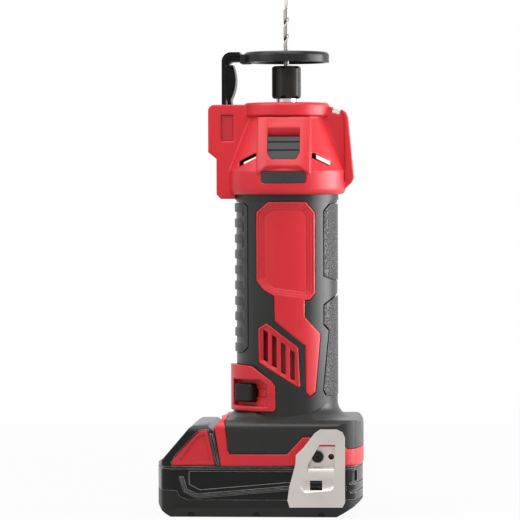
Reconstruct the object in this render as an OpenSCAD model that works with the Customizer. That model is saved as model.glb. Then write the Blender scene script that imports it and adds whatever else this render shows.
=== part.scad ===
// Cordless drywall cut out tool, built around its spindle axis.
// Z runs up the spindle, the battery latch end is at -X and the photographed side is at -Y.

/* [Body] */
// Outer radius of the grip barrel
barrel_r = 29.5; // [28.5:0.1:31]
// Height of the grip between the foot and the nose
grip_h = 132; // [126:1:150]
// Thickness of the soft overmold
skin_t = 2.2; // [1.6:0.1:2.6]
// Wall of the moulded housing
wall = 2.4; // [2:0.1:2.8]
// Height of the battery foot
foot_h = 26; // [25:0.5:30]
// Rear end of the foot from the spindle axis
foot_rear = 44.5; // [43:0.5:48]
// Half width of the foot
foot_half_w = 37; // [36:0.5:40]
// Joint line between two moulded pieces
seam = 0.15; // [0.1:0.05:0.3]

/* [Nose] */
// Step from the grip out to the lower band of the nose
nose_over = 5; // [4.5:0.1:6.5]
// Radius of the top collar
collar_r = 25; // [24:0.5:26]
// Height of the nose housing
nose_h = 51; // [50:0.5:54]
// Half width of the depth guide holder
holder_half_w = 9.8; // [9.4:0.1:11]
// Travel of the spindle lock button
lock_travel = 4; // [3.5:0.1:4.2]

/* [Spindle and bit] */
// Radius of the motor shaft
shaft_r = 4; // [3.5:0.1:4.4]
// Width across the flats of the collet nut
nut_flats = 15.8; // [15:0.1:17]
// Height of the collet nut
nut_h = 19; // [18.5:0.1:19.4]
// Diameter of the bit, an eighth of an inch
bit_d = 3.175; // [2.8:0.05:3.3]
// Length of the bit above the collar of the nose
bit_reach = 61; // [50:1:70]

/* [Depth guide] */
// Radius of the foot of the guide
disc_r = 25; // [23:0.5:28]
// Thickness of the foot at its rim
disc_t = 6.1; // [5.5:0.1:7]
// Width of the guide arm
arm_w = 15; // [13:0.5:15.2]
// Thickness of the guide arm
arm_t = 2.3; // [2:0.1:2.6]
// Height that the guide can be raised
guide_travel = 18; // [10:1:20]

/* [Switch] */
// Length of the slide button
slide_l = 17; // [15:0.5:18]
// Travel of the slide button
slide_travel = 5; // [4:0.5:6]

/* [Battery] */
// Height of the pack below the foot
battery_h = 30; // [29.5:0.5:34]
// Front end of the pack from the spindle axis
battery_front = 75.5; // [75:0.5:80]
// Diameter of a cell
cell_d = 18.3; // [18:0.1:18.6]
// Travel of a latch button
latch_travel = 2.5; // [2:0.1:3]

/* [Belt hook] */
// Clear gap between the hook plate and the foot
hook_gap = 6.4; // [5.5:0.1:8]
// Thickness of the hook plate
hook_t = 1.6; // [1.2:0.1:2]

/* [Hidden] */
$fn = 64;
fit = 0.02;
run = 0.06;
clear = 0.3;
big = 200;
groove = 0.45;
z_foot = battery_h;
z_shoulder = z_foot + foot_h;
z_nose = z_shoulder + grip_h;
z_collar = z_nose + nose_h;
nose_r = barrel_r + nose_over;
shell_r = barrel_r - skin_t;
grip_t = skin_t - 0.9;
bore_r = shell_r - wall;
foot_front = 40;
foot_front_low = 36.2;
flare_r = 9;
edge_r = 5;
can_r = bore_r - 1.2;
can_z0 = z_nose - 74;
can_z1 = z_nose - 7;
core_r = can_r - 9.2;
comm_r = 8.5;
bearing_r = 11;
bearing_w = 7;
ball_r = 1.95;
ball_track = 7.5;
front_bearing_z = z_collar - 13;
rear_bearing_z = can_z0 - 9.6;
band_h = 12;
lock_z = (z_nose + band_h + front_bearing_z) / 2 - 0.4;
lock_pin_r = 2;
lock_ring_r = 10;
nut_z = z_collar + 2.6;
nut_bore = 6.08;
disc_z = z_collar + 23.6;
arm_x = -37.4;
arm_z = z_collar - 25 - guide_travel;
holder_x = -45.2;
pod_half = 5.2;
lever_x = -32.7;
lever_z = z_collar - 4.6;
slot_gap = 0.2;
slide_angle = -45;
switch_z = z_shoulder + 15;
insert_l = 9;
rail_head = foot_half_w - insert_l - 4.4;
rail_half = rail_head - 4.1;
rail_z = z_foot + 5;
dock_z = z_foot + 16.4;
dock_end = 34.2;
case_seam = 10.3;
case_wall = 2.4;
foot_step = 0.5;
battery_half_w = foot_half_w - foot_step;
cell_end_gap = 1.6;
cell_l = 2 * (battery_half_w - case_wall - cell_end_gap);
cell_z = case_wall + 1.6 + cell_d / 2;
cell_pitch = cell_d + 1.3;
cell_mid = -15.5;
hook_x = 19.6;
hook_z = z_foot + 5.6;
hook_peg_x = 27.3;
hook_y = -foot_half_w - hook_gap;
insert_r = 3.2;
insert_bore = 2.05;
blade_rows = [-11, -4, 4, 11];
latch_y = battery_half_w - 0.6;
body_screw_at = [[bore_r - 5.4, z_nose - 91], [5.4 - bore_r, z_nose - 91], [31.5, z_shoulder - 5.5],
    [-31.5, z_shoulder - 5.5]];

// Shared shapes

module box(x0, x1, y0, y1, z0, z1) {
    translate([x0, y0, z0])
        cube([x1 - x0, y1 - y0, z1 - z0]);
}

module prism_y(pts, y0, y1) {
    translate([0, y1, 0])
        rotate([90, 0, 0])
            linear_extrude(y1 - y0)
                polygon(pts);
}

module prism_x(pts, x0, x1) {
    translate([x0, 0, 0])
        rotate([90, 0, 90])
            linear_extrude(x1 - x0)
                polygon(pts);
}

module rod_y(r, x, z, y0, y1) {
    translate([x, y0, z])
        rotate([-90, 0, 0])
            cylinder(r = r, h = y1 - y0);
}

module ring(r_out, r_in, z0, z1) {
    translate([0, 0, z0])
        difference() {
            cylinder(r = r_out, h = z1 - z0);
            translate([0, 0, -1])
                cylinder(r = r_in, h = z1 - z0 + 2);
        }
}

module round_rect(x0, y0, x1, y1, r) {
    translate([x0 + r, y0])
        square([x1 - x0 - 2 * r, y1 - y0]);
    translate([x0, y0 + r])
        square([x1 - x0, y1 - y0 - 2 * r]);
    for (x = [x0 + r, x1 - r])
        for (y = [y0 + r, y1 - r])
            translate([x, y])
                circle(r);
}

module both_sides() {
    children();
    mirror([0, 1, 0])
        children();
}

module near_half() {
    intersection() {
        children();
        box(-big, big, -big, 0, -1, big * 2);
    }
}

module far_half() {
    intersection() {
        children();
        box(-big, big, 0, big, -1, big * 2);
    }
}

// A closed coil of round wire along +Z, as a swept ring of points
module coil(r, wire, len, turns) {
    sides = 6;
    per_turn = 10;
    rings = turns * per_turn;
    points = [for (i = [0:rings]) let (a = 360 * i / per_turn, z = wire + (len - 2 * wire) * i / rings)
        for (k = [0:sides - 1]) let (b = 360 * k / sides)
            [(r + wire * cos(b)) * cos(a), (r + wire * cos(b)) * sin(a), z + wire * sin(b)]];
    skin = [for (i = [0:rings - 1]) for (k = [0:sides - 1])
        let (n = (k + 1) % sides)
            [i * sides + k, (i + 1) * sides + k, (i + 1) * sides + n, i * sides + n]];
    first = [[for (k = [0:sides - 1]) k]];
    last = [[for (k = [0:sides - 1]) rings * sides + sides - 1 - k]];
    polyhedron(points, concat(skin, first, last));
}

// Body of the tool

module barrel_form(inset) {
    rotate_extrude()
        translate([0, z_shoulder - 6])
            square([barrel_r - inset, grip_h + 6]);
    rotate_extrude()
        translate([0, z_nose - 5.5])
            square([barrel_r + 0.7 - inset, 5.5]);
}

// Cross section of the foot: a rounded side edge, then a slope up to the barrel
function shoulder_side(inset) = let (half = foot_half_w - inset, rim = z_shoulder - inset - 1, r = 4)
    concat([[half, z_foot - 1]], [for (a = [0:15:60]) [half - r + r * cos(a), rim - r + r * sin(a)]]);

function shoulder_pts(inset) = let (side = shoulder_side(inset), last = len(side) - 1)
    concat(side, [[0, side[last][1] + side[last][0] * tan(30)]],
        [for (i = [last:-1:0]) [-side[i][0], side[i][1]]]);

module flare_form(inset) {
    intersection() {
        rotate_extrude()
            difference() {
                translate([barrel_r - inset - 2, z_shoulder - inset - 2])
                    square([flare_r + inset + 2, flare_r + inset + 2]);
                translate([barrel_r + flare_r, z_shoulder + flare_r])
                    circle(flare_r + inset);
            }
        prism_x(shoulder_pts(inset), -big, big);
    }
}

module foot_form(inset) {
    top = z_shoulder - inset;
    intersection() {
        translate([0, 0, z_foot])
            linear_extrude(foot_h)
                intersection() {
                    round_rect(-foot_front - 16, inset - foot_half_w, foot_rear - inset, foot_half_w - inset, 18 - inset);
                    translate([foot_rear - 120, 0])
                        circle(120 - inset);
                }
        translate([0, big, 0])
            rotate([90, 0, 0])
                linear_extrude(big * 2)
                    union() {
                        polygon([[-foot_front_low + inset, z_foot], [foot_rear, z_foot], [foot_rear, top - edge_r],
                            [foot_rear - edge_r - inset, top], [inset - foot_front + 3, top],
                            [inset - foot_front, top - 4]]);
                        translate([foot_rear - edge_r - inset, top - edge_r])
                            circle(edge_r);
                    }
        prism_x(shoulder_pts(inset), -big, big);
    }
}

module body_form(inset) {
    barrel_form(inset);
    flare_form(inset);
    foot_form(inset);
}

function panel_pts(g) = [[-9.2 + g / 2, z_nose - 6.5 - g], [12.4 - g / 2, z_nose - 6.5 - g],
    [17.6 - g, z_nose - 12.5 - g / 2], [17.6 - g, z_nose - 59.5 + g / 2], [14.5 - g / 2, z_nose - 63.2 + g],
    [-5.8, z_nose - 60.6 + g], [-12 + g / 2, z_nose - 57.4 + g], [-16.2 + g, z_nose - 52 + g / 2],
    [-16.2 + g, z_nose - 12.5 - g / 2]];

function leg_pts(g) = [[-5.8 + g, z_nose - 58], [11.8 - g, z_nose - 60], [11.8 - g, z_nose - 73],
    [20.6 - g, z_nose - 83 + g / 2], [17.6 - g, z_nose - 116.4 + g], [14.3, z_nose - 119 + g],
    [12.2 + g, z_nose - 116.4 + g], [12 + g, z_nose - 89.5 - g], [-5.4 + g, z_nose - 75]];

function louvre_pts(g) = [[-15.3 + g, z_nose - 79.4 - g / 2], [-10.2, z_nose - 76.5 - g],
    [8 - g, z_nose - 90.3 - g / 2], [9.1 - g, z_nose - 113.8 + g], [-14.9 + g, z_nose - 99.4 + g]];

function boss_pts(g) = [[-big, z_shoulder + 4.5 + g], [-6.2 - g, z_shoulder + 4.5 + g], [-5.2 - g, z_shoulder + 6],
    [-5.2 - g, z_shoulder + 19], [-7.2 - g, z_shoulder + 22], [-19 - g / 2, z_shoulder + 30.5 - g],
    [-27, z_shoulder + 31 - g], [-big, z_shoulder + 31 - g]];

function hook_zone_pts(g) = [[1.8 + g, z_foot - 1], [1.8 + g, z_foot + 6.6], [10.8 + g / 2, z_foot + 16.4 - g],
    [30, z_foot + 16.4 - g], [36, z_foot + 9.6 - g], [big, z_foot + 9.6 - g], [big, z_foot - 1]];

// Where the hard housing comes through the overmold, grown by g for the joint line
module red_zone(g) {
    both_sides() {
        prism_y(panel_pts(-g), -45, -6);
        prism_y(leg_pts(-g), -45, -6);
        prism_y(louvre_pts(-g), -45, -6);
        intersection() {
            prism_y(hook_zone_pts(-g), -60, -22);
            box(-60, 60, -60, 60, z_foot - 1, z_shoulder - 6);
        }
    }
    prism_y(boss_pts(-g), -45, -1.5 + g);
    box(-60, 60, -60, 60, z_foot - 1, z_foot + 6.6 + g);
    prism_y([[-60, z_foot - 1], [-31 + g, z_foot - 1], [-31.4 + g, z_foot + 6.6], [-34.2 + g, z_shoulder - 1],
        [-34.2 + g, z_shoulder + 12], [-60, z_shoulder + 12]], -60, 60);
    box(36 - g, 60, -60, 60, z_foot - 1, z_foot + 9.6 + g);
}

function front_grip_pts(g) = [[-big, z_nose - 7 - g], [-24 - g, z_nose - 7 - g], [-21.6 - g, z_nose - 9.4 - g],
    [-21.6 - g, z_nose - 90.5 + g], [-25 - g, z_nose - 94 + g], [-big, z_nose - 94 + g]];

function rear_upper_pts(g) = [[big, z_nose - 7.6 - g], [26 + g, z_nose - 7.6 - g], [22.6 + g, z_nose - 12 - g],
    [22.6 + g, z_nose - 49.6 + g], [big, z_nose - 120.6 + g]];

function rear_lower_pts(g) = [[big, z_nose + 70], [22.6 + g, z_nose - 66.2 - g], [22.6 + g, z_nose - 77.4 + g],
    [25.4 + g, z_nose - 80.9 + g], [22.2 + g, z_nose - 115.4 + g], [23.8 + g, z_nose - 118.8 + g],
    [big, z_nose - 123 + g]];

module front_grip_zone(g) {
    both_sides()
        prism_y(front_grip_pts(g), -45, -g);
}

module rear_grip_zone(g) {
    both_sides() {
        intersection() {
            prism_y(rear_upper_pts(g), -45, -g);
            box(0, 60, -45, 1, z_nose - 54.5 + g, z_nose);
        }
        intersection() {
            prism_y(rear_lower_pts(g), -45, -g);
            box(0, 60, -45, 1, z_nose - 122 + g, z_nose - 60.5 - g);
        }
    }
}

module switch_frame() {
    rotate([0, 0, slide_angle])
        children();
}

module screw_holes(r_far, r_near) {
    for (p = body_screw_at) {
        rod_y(r_far, p[0], p[1], -0.01, 60);
        rod_y(r_near, p[0], p[1], -14, 0.01);
        rod_y(3.3, p[0], p[1], 13.85, 60);
    }
}

module screw_access() {
    for (p = body_screw_at)
        rod_y(3.5, p[0], p[1], 10, 60);
}

module boss_form() {
    intersection() {
        translate([-3.5, 0, 0])
            cylinder(r = barrel_r, h = big * 2);
        prism_y(boss_pts(0), -45, -1.5);
        box(-60, 60, -60, 60, z_shoulder, big * 2);
    }
}

module louvre_slots() {
    tops = [108.3, 105.5, 101.1, 97];
    ends = [90.6, 87.3, 83.5, 80.1];
    drop = z_nose - 188.5;
    for (i = [0:3]) {
        x = -10.9 + i * 5.15;
        prism_y([[x - 1.35, ends[i] + drop], [x + 1.35, ends[i] - 1.2 + drop],
            [x + 1.35, tops[i] - 1.6 + drop], [x - 1.35, tops[i] + drop]], -45, -18);
    }
}

module housing_solid() {
    // neck that the nose housing is held on
    ring(shell_r, bore_r, z_nose - 1, z_nose + 3);
    ring(shell_r + 3.4, bore_r, z_nose + 3, z_nose + 5.6);
    difference() {
        union() {
            body_form(skin_t);
            intersection() {
                body_form(0);
                red_zone(0);
            }
            boss_form();
        }
        // bore for the motor, and the battery dock below it
        translate([0, 0, z_shoulder - 6])
            cylinder(r = bore_r, h = big * 2);
        box(-big, dock_end, -rail_head, rail_head, rail_z, dock_z);
        box(-big, dock_end, -rail_half, rail_half, z_foot - 1, rail_z + 0.1);
        translate([15, 4, dock_z - 1])
            cylinder(r = 3.4, h = 10);
        // panel sunk in three low steps
        both_sides()
            for (i = [1:3])
                intersection() {
                    prism_y(panel_pts(1.5 * i - 0.3), -45, -6);
                    ring(barrel_r + 2, barrel_r - 0.4 * i, z_nose - 70, z_nose);
                }
        // recess of the louvre and its air slots
        both_sides() {
            louvre_slots();
            intersection() {
                prism_y(louvre_pts(1.3), -45, -6);
                ring(barrel_r + 2, barrel_r - 0.7, z_nose - 120, z_nose - 70);
            }
        }
        // recess of the slide switch and the slot for its stem
        switch_frame() {
            prism_y([[-13.5, z_shoulder + 7.3], [13, z_shoulder + 7.3], [13, z_shoulder + 19.5],
                [9.5, z_shoulder + 22.8], [-13.5, z_shoulder + 22.8]], -45, 3.3 - barrel_r);
            box(-6, 6 + slide_travel, 1.5 - barrel_r, 4.9 - bore_r, switch_z - 2.4, switch_z + 2.4);
        }
        // threaded inserts for the belt hook
        rod_y(insert_r + fit, hook_x, hook_z, -foot_half_w - 1, insert_l - foot_half_w + 0.1);
        rod_y(insert_r + fit, hook_x, hook_z, foot_half_w - insert_l - 0.1, foot_half_w + 1);
        rod_y(1.7, hook_peg_x, hook_z, foot_half_w - 4, foot_half_w + 1);
        rod_y(1.7, hook_peg_x, hook_z, -foot_half_w - 1, 4 - foot_half_w);
        screw_holes(2, 1.85);
    }
    // ribs that hold the motor and the brush plate
    for (z = [can_z0 + 12, can_z1 - 14])
        ring(bore_r + 0.5, can_r + 0.05, z, z + 3);
    ring(bore_r + 0.5, can_r - 3, can_z1 + 0.1, can_z1 + 1.6);
    ring(bore_r + 0.5, can_r - 6, can_z0 - 3.2, can_z0 - 0.8);
    // screw bosses below the motor
    difference() {
        intersection() {
            for (i = [0, 1])
                rod_y(3.6, body_screw_at[i][0], body_screw_at[i][1], -26, 26);
            translate([0, 0, z_shoulder])
                cylinder(r = bore_r + 0.5, h = grip_h);
        }
        screw_holes(2, 1.85);
    }
}

module housing_near() {
    color("#d5202c")
        near_half()
            housing_solid();
}

module housing_far() {
    color("#d5202c")
        far_half()
            housing_solid();
}

module overmold_solid() {
    difference() {
        body_form(0);
        body_form(skin_t - seam);
        red_zone(groove);
        intersection() {
            union() {
                front_grip_zone(-seam);
                rear_grip_zone(-seam);
            }
            ring(barrel_r + 5, barrel_r - grip_t - 0.1, z_shoulder, z_nose);
        }
        // shadow line round the grips
        intersection() {
            union() {
                front_grip_zone(-groove);
                rear_grip_zone(-groove);
            }
            ring(barrel_r + 5, barrel_r - 0.7, z_shoulder, z_nose - 5.5);
        }
        translate([0, 0, z_foot - 1])
            cylinder(r = shell_r + 0.1, h = big * 2);
        screw_access();
    }
    // raised pads on the sides of the foot
    both_sides()
        prism_y([[-32.5, z_foot + 8.6], [-11.4, z_foot + 8.6], [-14.4, z_foot + 21.8], [-32.5, z_foot + 21.8]],
            -foot_half_w - 0.5, 0.8 - foot_half_w);
}

module overmold_near() {
    color("#3b3b3c")
        near_half()
            overmold_solid();
}

module overmold_far() {
    color("#3b3b3c")
        far_half()
            overmold_solid();
}

module front_grips() {
    rib = 5.7;
    rib_h = 1;
    pitch = 9.05;
    color("#343435")
        difference() {
            intersection() {
                union() {
                    ring(barrel_r, barrel_r - grip_t, z_nose - 100, z_nose);
                    intersection() {
                        for (i = [0:9])
                            translate([0, 0, z_nose - 92 + i * pitch - pitch / 2 + 2.4])
                                rotate_extrude()
                                    polygon([[barrel_r - 1, 0], [barrel_r, 0], [barrel_r + rib_h, 0.6],
                                        [barrel_r + rib_h, rib - 0.6], [barrel_r, rib], [barrel_r - 1, rib]]);
                        // the ribs run out towards the sides
                        translate([-5.3, 0, 0])
                            cylinder(r = barrel_r + rib_h - 5.2, h = big * 2);
                    }
                }
                front_grip_zone(seam);
            }
            screw_access();
        }
}

module rear_grips() {
    color("#343435")
        intersection() {
            ring(barrel_r + 0.3, barrel_r - grip_t, z_nose - 130, z_nose);
            rear_grip_zone(seam);
        }
}

// Nose

module nose_profile() {
    // the skirt at its foot covers the top of the grip
    polygon([[shell_r + clear, seam], [barrel_r + 1.1, seam], [barrel_r + 1.1, -2.3], [nose_r - 2.8, -2.3],
        [nose_r - 1.2, -1.7], [nose_r - 0.3, -0.4], [nose_r, 1.4], [nose_r, band_h - 0.6], [nose_r - 0.4, band_h],
        [collar_r - 2.2, nose_h - 8.4], [collar_r, nose_h - 7.4], [collar_r, nose_h - 1.2], [collar_r - 1.2, nose_h], [8, nose_h], [8, nose_h - 5.6],
        [bearing_r + fit, nose_h - 5.6], [bearing_r + fit, nose_h - 14], [14.6, nose_h - 14],
        [14.6, nose_h - 6.4], [collar_r - 5.2, nose_h - 6.4], [collar_r - 5.2, nose_h - 10],
        [nose_r - 3.2, band_h - 0.4], [nose_r - 3.2, 2.7], [shell_r + clear, 2.7]]);
}

module nose_cavity() {
    translate([0, 0, z_nose])
        rotate_extrude()
            polygon([[0, -20], [shell_r + clear, -20], [shell_r + clear, 2.7], [nose_r - 3.2, 2.7],
                [nose_r - 3.2, band_h - 0.4], [collar_r - 5.2, nose_h - 10],
                [collar_r - 5.2, nose_h + 9], [0, nose_h + 9]]);
    // the grip's top runs up inside the tail of the holder
    translate([0, 0, z_nose - 20])
        cylinder(r = barrel_r + 1.1, h = 20 + seam);
}

module holder_form() {
    translate([0, holder_half_w, 0])
        rotate([90, 0, 0])
            linear_extrude(holder_half_w * 2)
                union() {
                    polygon([[holder_x, z_collar - 28.5], [holder_x, z_collar - 4.5],
                        [holder_x + 3.5, z_collar - 4.5], [holder_x + 3.5, z_collar - 1], [-18, z_collar - 1], [-18, z_nose - 4.8],
                        [holder_x + 7.4, z_nose - 4.8], [holder_x + 4.8, z_nose - 2.2],
                        [holder_x + 4.8, z_collar - 32.5]]);
                    translate([holder_x + 3.5, z_collar - 4.5])
                        circle(3.5);
                }
}

module pod_form() {
    edge = [[31.8, z_nose - 1.2], [38, z_nose + 4.6], [39.2, z_nose + 7.4], [36, z_collar - 9], [35.4, z_collar - 7.2],
        [34.4, z_collar - 5.2], [32.9, z_collar - 4.2]];
    prism_y(concat([[18, z_nose - 1.2]], edge, [[24.8, z_collar - 2], [18, z_collar - 1.6]]), -pod_half, pod_half);
    // raised rim along the rear edge
    prism_y(concat(edge, [[32.9, z_collar - 6], [34, z_collar - 9], [34.4, z_nose + 5.6]]), -pod_half - 1.4, pod_half + 1.4);
}

// The flat front of the nose, at height z
function front_y(z) = -nose_r - 0.1
    + (nose_r - collar_r + 0.5) * (z - z_nose - 14) / (nose_h - 22.6);

module blister_form() {
    low = z_nose + 14;
    high = z_collar - 8.6;
    // flat front with wide chamfers that run out into the cone
    hull() {
        prism_x([[0, low], [front_y(low), low], [front_y(high), high], [0, high]], -9.6, 9.6);
        prism_x([[0, low - 4.5], [front_y(low) + 3, low - 4.5], [front_y(low) + 3, low], [front_y(high) + 3, high],
            [0, high]], -15.4, 15.4);
    }
}

function button_pts(g) = [[-9.1 - g, lock_z + 6.4 + g], [9.1 + g, lock_z + 6.4 + g],
    [9.1 + g, lock_z - 2.7 - g / 2], [6.9 + g / 2, lock_z - 6.4 - g], [-6.9 - g / 2, lock_z - 6.4 - g], [-9.1 - g, lock_z - 2.7 - g / 2]];

module pad_outline(g) {
    translate([0, -20, 0])
        rotate([90, 0, 0])
            linear_extrude(30)
                round_rect(-12.5 - g, z_nose + 4.6 - g, 12.5 + g, z_nose + 10.8 + g, 1.2);
}

module lamp_frame() {
    translate([29.6, 0, z_collar - 3.3])
        rotate([0, 15.2, 0])
            children();
}

module nose_cuts() {
    slot = [[-26.4, z_nose + 13.8], [-26.4, z_nose + 16.8], [-16, z_nose + 21.8], [-16, z_nose + 18.8]];
    // exhaust slots, right through both sides
    prism_y(slot, -60, 60);
    mirror([1, 0, 0])
        prism_y(slot, -60, 60);
    // window of the lock button and the scoop above it
    prism_y(button_pts(0.25), -60, -17.2);
    prism_x([[-60, lock_z + 11.6], [front_y(lock_z + 11.6), lock_z + 11.6],
        [front_y(lock_z + 6) + 4.1, lock_z + 6], [-60, lock_z + 6]], -9.35, 9.35);
    // seat of the gray pad
    intersection() {
        ring(nose_r + 3, nose_r - 1.3, z_nose, z_nose + 14);
        pad_outline(0.15);
    }
    // way of the guide arm, the lever and its pin
    box(arm_x - slot_gap, arm_x + arm_t + slot_gap, -arm_w / 2 - slot_gap, arm_w / 2 + slot_gap,
        arm_z - 5, big * 2);
    box(arm_x + arm_t - 0.1, -26.8, -arm_w / 2 - slot_gap, arm_w / 2 + slot_gap, lever_z - 3, big * 2);
    rod_y(1.02, lever_x, lever_z, 0.9 - holder_half_w, holder_half_w - 0.9);
    // bare place on the side of the holder
    both_sides()
        box(-37.6, -30.4, -20, 1 - holder_half_w, z_collar - 22.2, z_collar - 7);
    // pocket of the work lamp
    lamp_frame()
        box(-2.4, 2.4, -10, 10, -3, 6);
}

module nose_housing() {
    color("#d5202c")
        difference() {
            union() {
                translate([0, 0, z_nose])
                    rotate_extrude()
                        nose_profile();
                difference() {
                    union() {
                        holder_form();
                        pod_form();
                        blister_form();
                    }
                    nose_cavity();
                }
                // bracket that guides the lock pin
                difference() {
                    box(-6, 6, lock_travel - 19.7, -13.2, lock_z - 5, z_collar - 6);
                    rod_y(lock_pin_r + run, 0, lock_z, -20, -5);
                }
            }
            nose_cuts();
        }
}

module nose_pad() {
    color("#46474a")
        intersection() {
            ring(nose_r + 0.5, nose_r - 1.25, z_nose, z_nose + 14);
            pad_outline(0);
        }
}

module lamp_lens() {
    color("#f2efe4")
        lamp_frame() {
            box(-2.3, 2.3, 0.1 - pod_half, pod_half - 0.1, -2.95, -1.4);
            box(-1.9, 1.9, 0.5 - pod_half, pod_half - 0.5, -1.5, -0.5);
        }
}

module lock_button() {
    slope = [[front_y(lock_z - 6.4) + 0.25, lock_z - 6.4], [front_y(lock_z + 6.4) + 0.25, lock_z + 6.4],
        [-21.8, lock_z + 6.4], [-21.8, lock_z - 6.4]];
    color("#46474a")
        difference() {
            union() {
                intersection() {
                    prism_y(button_pts(0), -60, 0);
                    prism_x(slope, -20, 20);
                }
                box(-10.8, 10.8, -23.4, -21.8, lock_z - 8.9, lock_z - 1.6);
            }
            // two grip grooves across the face
            for (z = [lock_z - 1.8, lock_z + 2.9])
                prism_x([[-60, z], [front_y(z) + 1.1, z], [front_y(z) + 0.8, z + 1], [-60, z + 1]], -20, 20);
            rod_y(lock_pin_r + fit, 0, lock_z, -25, -20);
        }
}

module lock_pin() {
    color("#b9bcc0")
        rod_y(lock_pin_r, 0, lock_z, -24.9, -10.5);
}

module lock_spring() {
    color("#c9ccd0")
        translate([0, -21.75, lock_z])
            rotate([-90, 0, 0])
                coil(2.9, 0.32, lock_travel + 2, 3);
}

// Spindle and motor

module lock_collar() {
    color("#9a9da1")
        difference() {
            union() {
                translate([0, 0, lock_z - 5])
                    cylinder(r = lock_ring_r, h = 10);
                translate([0, 0, lock_z + 5])
                    cylinder(r = shaft_r + 2, h = front_bearing_z - lock_z - 5 - 0.05);
            }
            translate([0, 0, lock_z - 6])
                cylinder(r = shaft_r + fit, h = 40);
            for (a = [0, 90, 180, 270])
                rotate([0, 0, a])
                    rod_y(lock_pin_r + 0.15, 0, lock_z, -20, lock_travel + 0.4 - lock_ring_r);
        }
}

module motor_shaft() {
    color("#b9bcc0")
        translate([0, 0, rear_bearing_z - 1])
            cylinder(r = shaft_r, h = z_collar + 4 - rear_bearing_z + 1);
}

module spindle_nose() {
    color("#a4a7ab")
        difference() {
            translate([0, 0, front_bearing_z + bearing_w + 0.1])
                cylinder(r = nut_bore - run, h = nut_z + 15.2 - front_bearing_z - bearing_w - 0.1);
            translate([0, 0, front_bearing_z])
                cylinder(r = shaft_r + fit, h = z_collar + 4.1 - front_bearing_z);
            translate([0, 0, z_collar + 4])
                cylinder(r = 3.3, h = 30);
            translate([0, 0, nut_z + 11])
                cylinder(r1 = 3.3, r2 = 5.2, h = 4.3);
        }
}

module collet() {
    color("#8f9296")
        difference() {
            union() {
                translate([0, 0, z_collar + 4.6])
                    cylinder(r = 3.24, h = nut_z + 11 - z_collar - 4.6);
                translate([0, 0, nut_z + 11])
                    cylinder(r1 = 3.24, r2 = 4.6, h = 4.2);
                translate([0, 0, nut_z + 15.2])
                    cylinder(r1 = 4.3, r2 = 3, h = 2.2);
            }
            translate([0, 0, z_collar])
                cylinder(r = bit_d / 2 + 0.03, h = 40);
            for (a = [0, 90])
                rotate([0, 0, a])
                    box(-8, 8, -0.25, 0.25, nut_z + 6, nut_z + 30);
        }
}

module collet_nut() {
    color("#2b2a28")
        difference() {
            intersection() {
                translate([0, 0, nut_z])
                    rotate([0, 0, 20])
                        cylinder(r = nut_flats / sqrt(3), h = nut_h, $fn = 6);
                translate([0, 0, nut_z])
                    rotate_extrude()
                        union() {
                            square([nut_flats / 2 - 0.9, nut_h]);
                            translate([0, 1.9])
                                square([nut_flats / 2 + 0.75, nut_h - 3.8]);
                            translate([nut_flats / 2 - 1.15, 1.9])
                                circle(1.9);
                            translate([nut_flats / 2 - 1.15, nut_h - 1.9])
                                circle(1.9);
                        }
            }
            translate([0, 0, nut_z - 1])
                cylinder(r = nut_bore, h = 16.4);
            translate([0, 0, nut_z + 15.3])
                cylinder(r1 = 4.7, r2 = 3.2, h = 2.5);
            translate([0, 0, nut_z])
                cylinder(r = 2.4, h = nut_h + 1);
        }
}

module cutting_bit() {
    r = bit_d / 2;
    top = z_collar + bit_reach;
    flute = 30;
    pilot = 6;
    steps = 48;
    twist = 900;
    groove = [0.6, 0.42, 0.1, 0, 0, 0, 0, 0, 0, 0, 0, 0, 0, 0, 0.06, 0.3];
    count = len(groove);
    // each ring is its height, its radius, the depth of its flute and its turn
    shank = [[z_collar + 6, r, 0, 0], [top - flute, r, 0, 0]];
    spiral = [for (i = [1:steps])
        let (t = i / steps) [top - flute + (flute - pilot) * t, r, min(1, 6 * t), twist * t]];
    tip = [[top - pilot + 0.4, 0.5 * r, 0, twist], [top - 1, 0.5 * r, 0, twist], [top, 0.15 * r, 0, twist]];
    rings = concat(shank, spiral, tip);
    last = len(rings) - 1;
    points = [for (q = rings) for (k = [0:count - 1])
        let (b = 360 * k / count + q[3], d = q[1] * (1 - groove[k] * q[2]))
            [d * cos(b), d * sin(b), q[0]]];
    low = [for (i = [0:last - 1]) for (k = [0:count - 1])
        [i * count + k, (i + 1) * count + k, i * count + (k + 1) % count]];
    high = [for (i = [0:last - 1]) for (k = [0:count - 1])
        [i * count + (k + 1) % count, (i + 1) * count + k, (i + 1) * count + (k + 1) % count]];
    ends = [[for (k = [0:count - 1]) k], [for (k = [0:count - 1]) last * count + count - 1 - k]];
    color("#b4b2ae")
        polyhedron(points, concat(low, high, ends));
}

module bearing_race(r_out, r_in, z) {
    rotate_extrude()
        translate([0, z])
            difference() {
                translate([r_in, 0])
                    square([r_out - r_in, bearing_w]);
                translate([ball_track, bearing_w / 2])
                    circle(ball_r + run);
            }
}

module ball_set(z) {
    for (i = [0:6])
        rotate([0, 0, i * 360 / 7])
            translate([ball_track, 0, z + bearing_w / 2])
                sphere(r = ball_r);
}

module front_bearing_outer() {
    color("#c3c6ca")
        bearing_race(bearing_r, ball_track + 1.3, front_bearing_z);
}

module front_bearing_inner() {
    color("#c3c6ca")
        bearing_race(ball_track - 1.3, shaft_r + fit, front_bearing_z);
}

module front_bearing_balls() {
    color("#d8dadc")
        ball_set(front_bearing_z);
}

module rear_bearing_outer() {
    color("#c3c6ca")
        bearing_race(bearing_r, ball_track + 1.3, rear_bearing_z);
}

module rear_bearing_inner() {
    color("#c3c6ca")
        bearing_race(ball_track - 1.3, shaft_r + fit, rear_bearing_z);
}

module rear_bearing_balls() {
    color("#d8dadc")
        ball_set(rear_bearing_z);
}

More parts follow.
